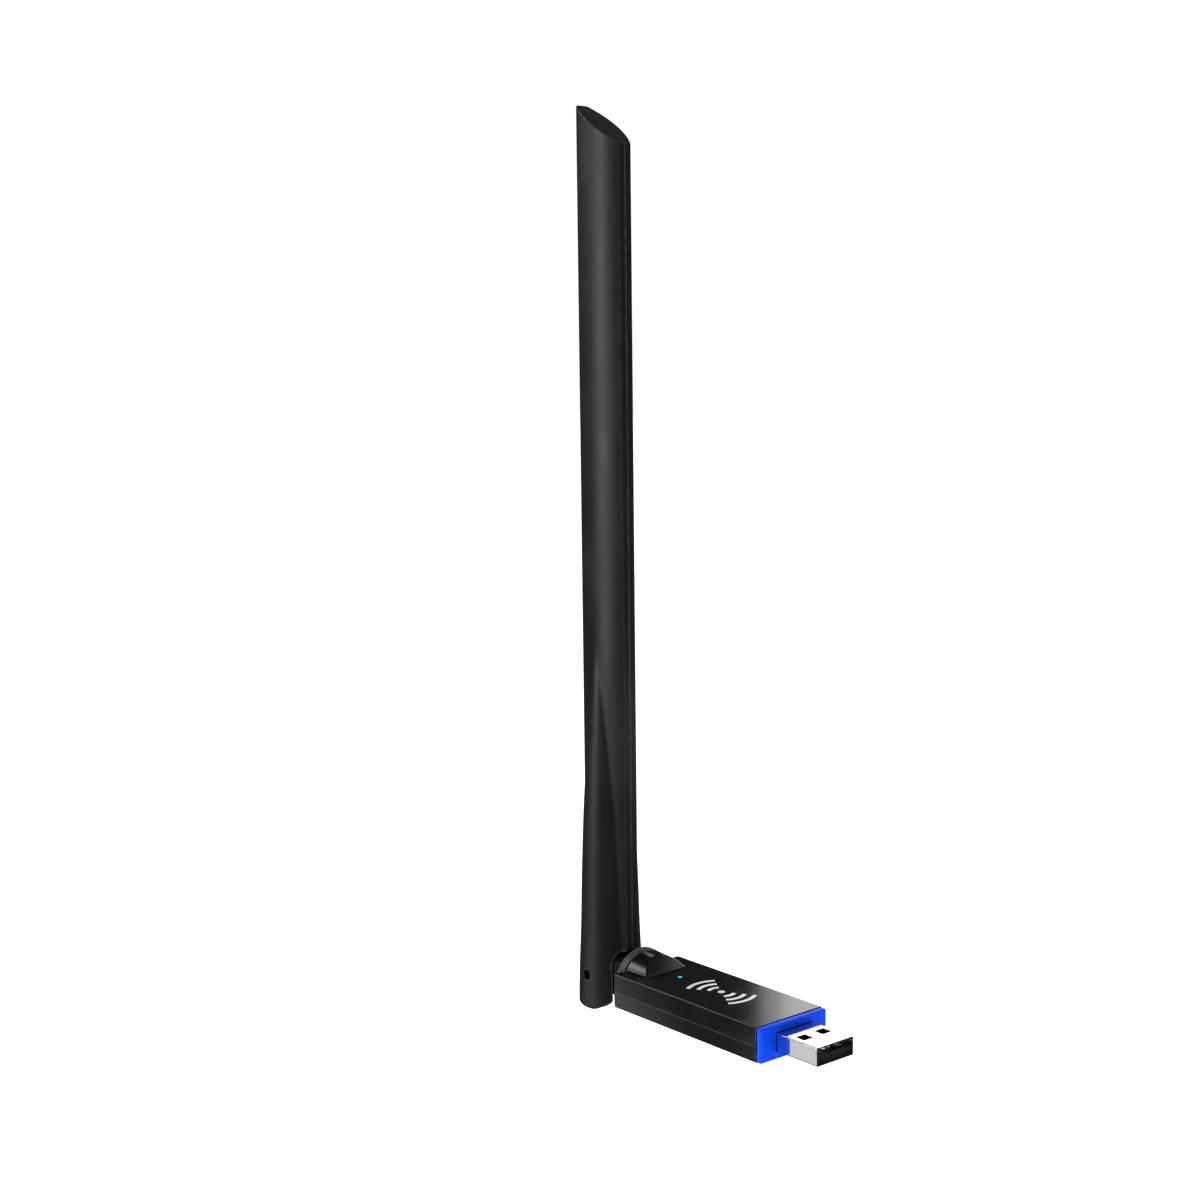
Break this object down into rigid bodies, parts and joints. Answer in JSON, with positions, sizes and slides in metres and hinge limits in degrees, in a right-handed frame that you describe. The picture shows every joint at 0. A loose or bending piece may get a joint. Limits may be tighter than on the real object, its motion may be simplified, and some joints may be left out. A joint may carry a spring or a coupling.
{
  "type": "usb wifi adapter",
  "caption": "Slim black USB wireless adapter with a blue collar at its plug and a long flat antenna that folds and swivels on a hinge at the rear.",
  "frame": {"origin": "centre of the collar's front face, where the USB plug comes out", "axes": "+X out of the plug's mouth, +Z out of the face with the indicator, +Y to the left seen from behind the housing"},
  "size_m": [0.0881, 0.022, 0.2282],
  "materials": {
    "housing_black": "glossy top face, satin sides",
    "collar_blue": "satin moulded plastic",
    "indicator_clear": "clear, lit cyan",
    "plug_steel": "bright nickel plate",
    "insulator_black": "matt",
    "contact_gold": "gold flash",
    "board_green": "solder mask",
    "chip_black": "moulded epoxy",
    "component_steel": "bright",
    "inductor_grey": "ferrite",
    "passive_tan": "ceramic",
    "led_white": "clear resin",
    "lead_jacket": "smooth jacket",
    "solder": "bright",
    "ring_grey": "finely textured",
    "hinge_black": "satin",
    "rubber_black": "matt",
    "pin_steel": "ground",
    "washer_nylon": "nylon",
    "antenna_black": "satin",
    "antenna_board_tan": "glass-fibre laminate",
    "copper": "etched",
    "foam_grey": "closed-cell foam"
  },
  "bodies": {
    "housing": {"housing_top": "housing_black", "housing_bottom": "housing_black", "plug_collar": "collar_blue", "light_pipe": "indicator_clear", "usb_shell": "plug_steel", "usb_insulator": "insulator_black", "usb_contacts": "contact_gold", "circuit_board": "board_green", "wifi_chip": "chip_black", "crystal": "component_steel", "power_inductor": "inductor_grey", "board_passives": "passive_tan", "indicator_led": "led_white", "coax_in_housing": "lead_jacket", "coax_solder": "solder"},
    "swivel": {"swivel_ring": "ring_grey", "swivel_knuckle": "hinge_black", "friction_ring": "rubber_black", "retaining_clip": "component_steel", "coax_in_swivel": "lead_jacket"},
    "antenna": {"hinge_pin": "pin_steel", "hinge_washers": "washer_nylon", "antenna_front_cover": "antenna_black", "antenna_rear_cover": "antenna_black", "antenna_board": "antenna_board_tan", "dipole_elements": "copper", "feed_solder": "solder", "coax_in_antenna": "lead_jacket", "foam_pads": "foam_grey"}
  },
  "joints": [
    {"name": "antenna_swivel", "type": "hinge", "parent": "housing", "child": "swivel", "pos_m": [-0.0525, 0, 0], "axis": [1, 0, 0], "range_deg": [-90, 90]},
    {"name": "antenna_fold", "type": "hinge", "parent": "swivel", "child": "antenna", "pos_m": [-0.0668, 0, 0], "axis": [0, -1, 0], "range_deg": [0, 90]}
  ]
}
